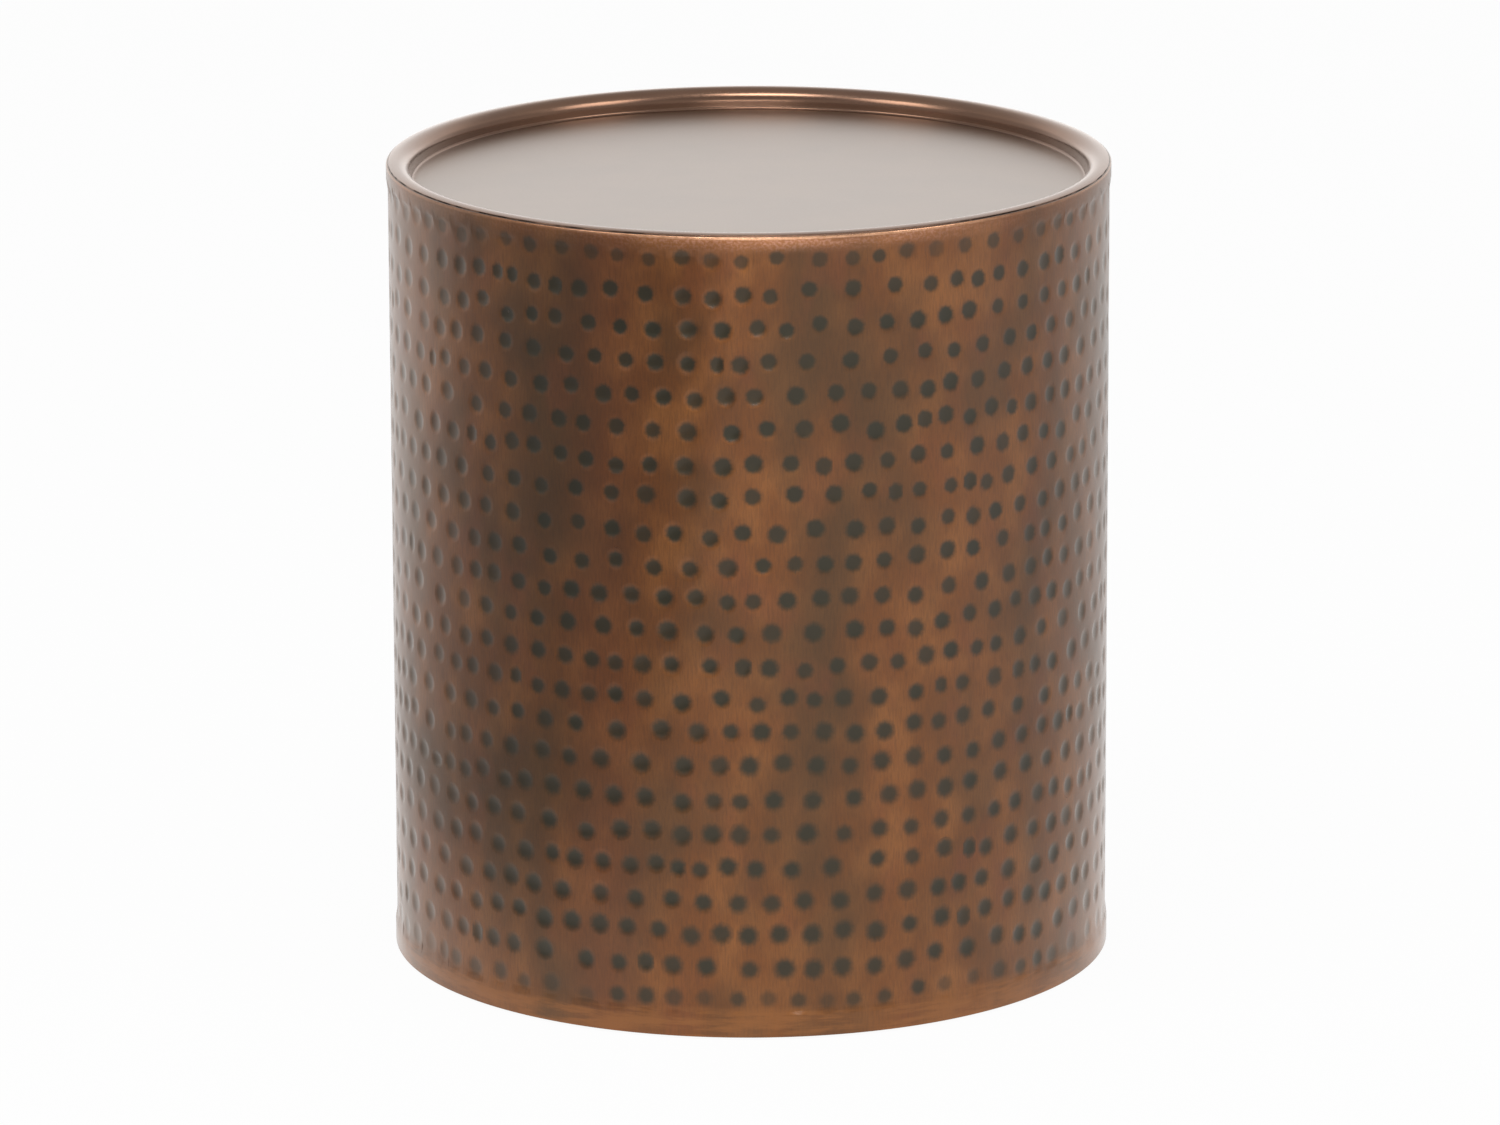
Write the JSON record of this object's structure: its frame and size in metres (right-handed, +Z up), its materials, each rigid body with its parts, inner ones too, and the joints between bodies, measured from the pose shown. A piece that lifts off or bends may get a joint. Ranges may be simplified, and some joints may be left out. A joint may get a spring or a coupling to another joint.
{
  "type": "drum side table",
  "caption": "Free-standing hammered metal drum table, open below, with a rolled rim and a shallow dished top fixed on its upper edge",
  "frame": {"origin": "on the floor, on the drum's axis", "axes": "+Z up along the drum's axis; +Y towards the brazed seam at the back; +X to the right seen from the front, which is -Y"},
  "size_m": [0.4064, 0.4062, 0.4543],
  "materials": {
    "copper_plate": "satin",
    "bronze_top": "gloss",
    "plain_steel": "satin",
    "weld_steel": "satin",
    "zinc_steel": "satin",
    "fibreboard": "matte",
    "rubber": "matte"
  },
  "bodies": {
    "root": {"drum_shell": "copper_plate", "seam_strip": "plain_steel", "top_pan": "bronze_top", "deck_board": "fibreboard", "deck_bracket_1": "zinc_steel", "deck_bracket_2": "zinc_steel", "deck_bracket_3": "zinc_steel", "deck_bracket_4": "zinc_steel", "bracket_weld_beads": "weld_steel", "deck_screws": "zinc_steel", "base_ring": "plain_steel", "ring_weld_beads": "weld_steel", "glide_foot_1": "rubber", "glide_foot_2": "rubber", "glide_foot_3": "rubber", "glide_foot_4": "rubber", "foot_studs": "zinc_steel", "foot_nuts": "zinc_steel"}
  },
  "joints": []
}
